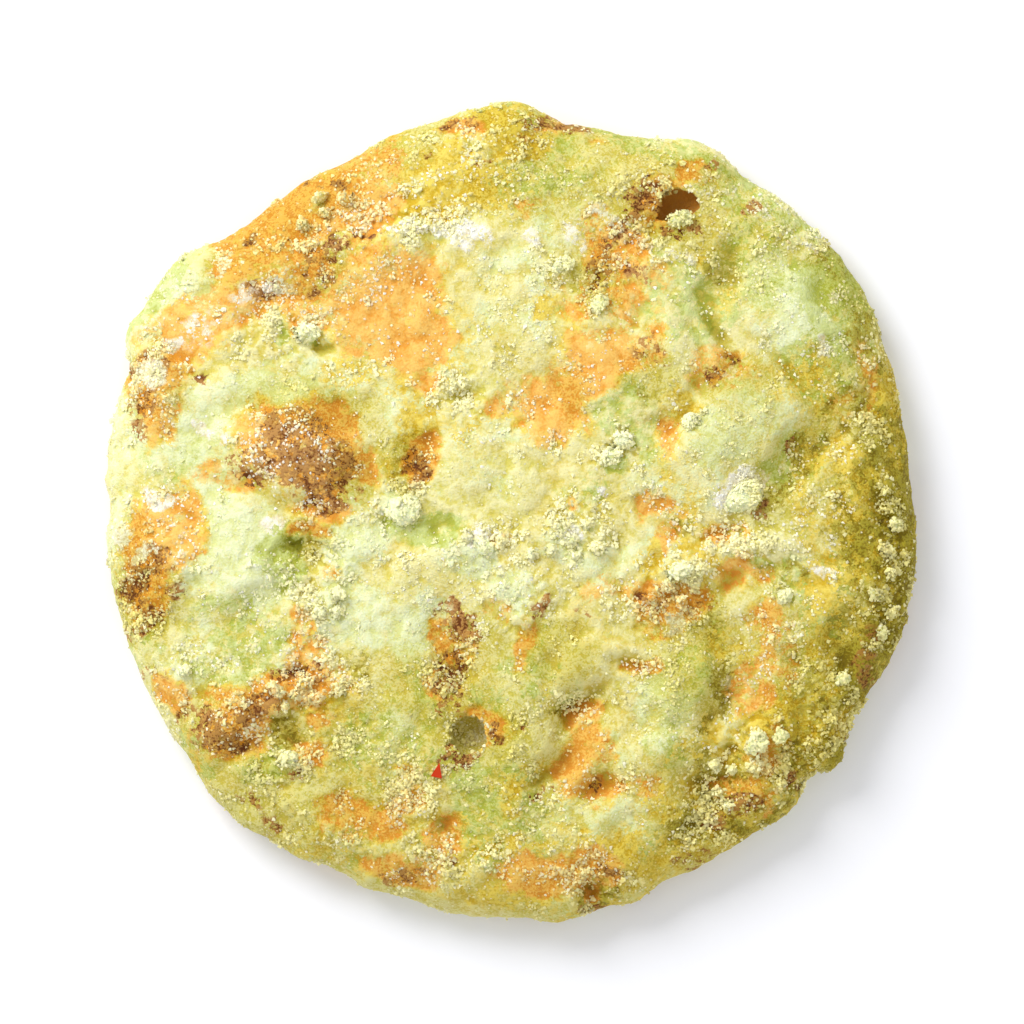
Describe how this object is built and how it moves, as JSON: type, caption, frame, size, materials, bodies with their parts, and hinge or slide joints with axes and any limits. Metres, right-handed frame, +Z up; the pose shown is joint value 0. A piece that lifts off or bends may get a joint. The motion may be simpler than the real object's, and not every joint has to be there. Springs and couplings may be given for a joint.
{
  "type": "matcha rice cracker",
  "caption": "Round puffed rice cracker with a green matcha sugar crust, browned blisters, ridges, burst bubbles and crumbs; lies flat on its underside.",
  "frame": {"origin": "middle of the underside, on the surface that the cracker lies on", "axes": "+Z up out of the crusted top, +X to the right and +Y away from the viewer in the view from above"},
  "size_m": [0.0698, 0.0707, 0.0096],
  "materials": {
    "sugared_cracker": "rough sugared crust, pale green with orange and brown patches"
  },
  "bodies": {
    "root": {"cracker": "sugared_cracker"}
  },
  "joints": []
}
